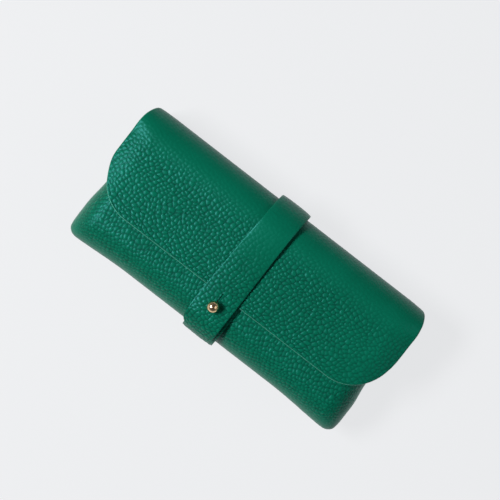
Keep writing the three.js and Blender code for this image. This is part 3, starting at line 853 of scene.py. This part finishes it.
def make_stud():
    height = STUD_TOP - stud_low[2]
    ball, neck, flange = 3.25, 1.8, stud_high[0] - STUD_X
    centre = height - ball
    start = -math.degrees(math.acos(neck / ball))
    globe = arc((0, centre), (ball, ball), start, 90, 40)
    profile = [(0, 0), (flange - 0.15, 0), (flange, 0.15), (flange, 0.6), (flange - 0.2, 0.8),
               (neck + 0.25, 0.85), (neck, 1.1), *globe[1:-1], (0, height)]
    obj = turned("ball_stud", profile, 64, GOLD, stud_low[2])
    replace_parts(obj, "stud")
    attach(obj, "pouch")

    tall = screw_high[2] - screw_low[2]
    head, shank = (screw_high[0] - screw_low[0]) / 2, 0.95
    threads = 14
    profile = [(0, 0.35), (0.5, 0.35), (0.62, 0.0), (head - 0.35, 0.0), (head, 0.35), (head, 0.9),
               (shank, 0.9)]
    for turn in range(threads):
        z = 1.4 + turn * (tall - 2.2) / threads
        profile += [(shank, z), (shank - 0.16, z + 0.2)]
    profile += [(shank - 0.2, tall - 0.15), (0, tall)]
    obj = turned("stud_fixing", profile, 40, GOLD, screw_low[2])
    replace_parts(obj, "stud_screw")
    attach(obj, "pouch")


# ---- stage ----------------------------------------------------------------------------------
PALE = (0.838, 0.847, 0.863, 1)


def pale_material():
    """Pale paper: the camera and reflections see its own pale colour, and it keeps the shadow."""
    n = Nodes("pale_floor")
    rays = n.add("ShaderNodeLightPath").outputs
    mirrored = n.maths("MAXIMUM", rays["Is Glossy Ray"], rays["Is Transmission Ray"])
    seen = n.maths("MAXIMUM", rays["Is Camera Ray"], mirrored)
    n.set(Base_Color=(0.80, 0.81, 0.82, 1), Roughness=1.0, Specular_IOR_Level=0.0)
    glow = n.add("ShaderNodeEmission", {"Color": PALE, "Strength": 1.0})
    share = n.maths("MULTIPLY", seen, 0.9)
    mixed = n.add("ShaderNodeMixShader", {0: share, 1: n.shader.outputs[0], 2: glow.outputs[0]})
    n.tree.links.new(mixed.outputs[0], n.tree.nodes["Material Output"].inputs["Surface"])
    return n.material


def make_floor():
    """A wide sheet just under the case, which rests at height 0."""
    mesh = bpy.data.meshes.new("floor")
    size, level = 8.0, -0.0004
    corners = [(x * size, y * size, level) for x, y in ((-1, -1), (1, -1), (1, 1), (-1, 1))]
    mesh.from_pydata(corners, [], [[0, 1, 2, 3]])
    mesh.materials.append(pale_material())
    floor = bpy.data.objects.new("floor", mesh)
    bpy.context.scene.collection.objects.link(floor)


def area_light(name, place, aim, size, power, colour=(1, 1, 1)):
    lamp = bpy.data.lights.new(name, "AREA")
    lamp.shape = "RECTANGLE"
    lamp.size, lamp.size_y = size
    lamp.energy = power
    lamp.color = colour
    obj = bpy.data.objects.new(name, lamp)
    bpy.context.scene.collection.objects.link(obj)
    obj.location = place
    toward = np.array(aim, float) - np.array(place, float)
    obj.rotation_euler = Vector(toward).to_track_quat("-Z", "Y").to_euler()
    return obj


PICTURE_TURN = math.radians(37.75)
PICTURE_RIGHT = np.array([math.cos(PICTURE_TURN), math.sin(PICTURE_TURN), 0])
PICTURE_UP = np.array([-math.sin(PICTURE_TURN), math.cos(PICTURE_TURN), 0])


def make_lights():
    """A softbox on the left of the picture, a weak fill from the right and a soft sky."""
    middle = np.array([0, 0, 0.03])
    key = middle - 0.74 * PICTURE_RIGHT + 0.18 * PICTURE_UP + np.array([0, 0, 0.97])
    area_light("key", key, middle, (0.55, 0.30), 20.0)
    fill = middle + 1.0 * PICTURE_RIGHT - 0.2 * PICTURE_UP + np.array([0, 0, 0.8])
    area_light("fill", fill, middle, (0.9, 0.9), 2.6)
    world = bpy.data.worlds.new("studio")
    bpy.context.scene.world = world
    world.use_nodes = True
    tree = world.node_tree
    back = tree.nodes["Background"]
    place = tree.nodes.new("ShaderNodeTexCoord")
    split = tree.nodes.new("ShaderNodeSeparateXYZ")
    sky = tree.nodes.new("ShaderNodeValToRGB")
    rays = tree.nodes.new("ShaderNodeLightPath")
    seen = tree.nodes.new("ShaderNodeBackground")
    choose = tree.nodes.new("ShaderNodeMixShader")
    for element, (height, level) in zip(sky.color_ramp.elements, ((0.0, 0.18), (0.9, 0.04))):
        element.position = height
        element.color = (0.96 * level, 0.98 * level, level, 1)
    seen.inputs["Color"].default_value = PALE
    tree.links.new(place.outputs["Generated"], split.inputs[0])
    tree.links.new(split.outputs["Z"], sky.inputs["Fac"])
    tree.links.new(sky.outputs["Color"], back.inputs["Color"])
    tree.links.new(rays.outputs["Is Camera Ray"], choose.inputs[0])
    tree.links.new(back.outputs[0], choose.inputs[1])
    tree.links.new(seen.outputs[0], choose.inputs[2])
    tree.links.new(choose.outputs[0], tree.nodes["World Output"].inputs["Surface"])


def make_camera():
    """Straight above, turned so that the case lies across the picture as in the reference view."""
    camera = bpy.data.cameras.new("camera")
    camera.sensor_width = 36.0
    camera.lens = 102.5
    obj = bpy.data.objects.new("camera", camera)
    bpy.context.scene.collection.objects.link(obj)
    obj.location = (-0.0045, 0.0095, 0.8)
    obj.rotation_euler = (0, 0, PICTURE_TURN)
    bpy.context.scene.camera = obj


make_camera()
make_lights()
make_floor()
make_pouch()
make_divider()
make_wrap()
make_strap()
make_strap_stitches()
make_stud()
bpy.context.scene.view_settings.view_transform = "Standard"
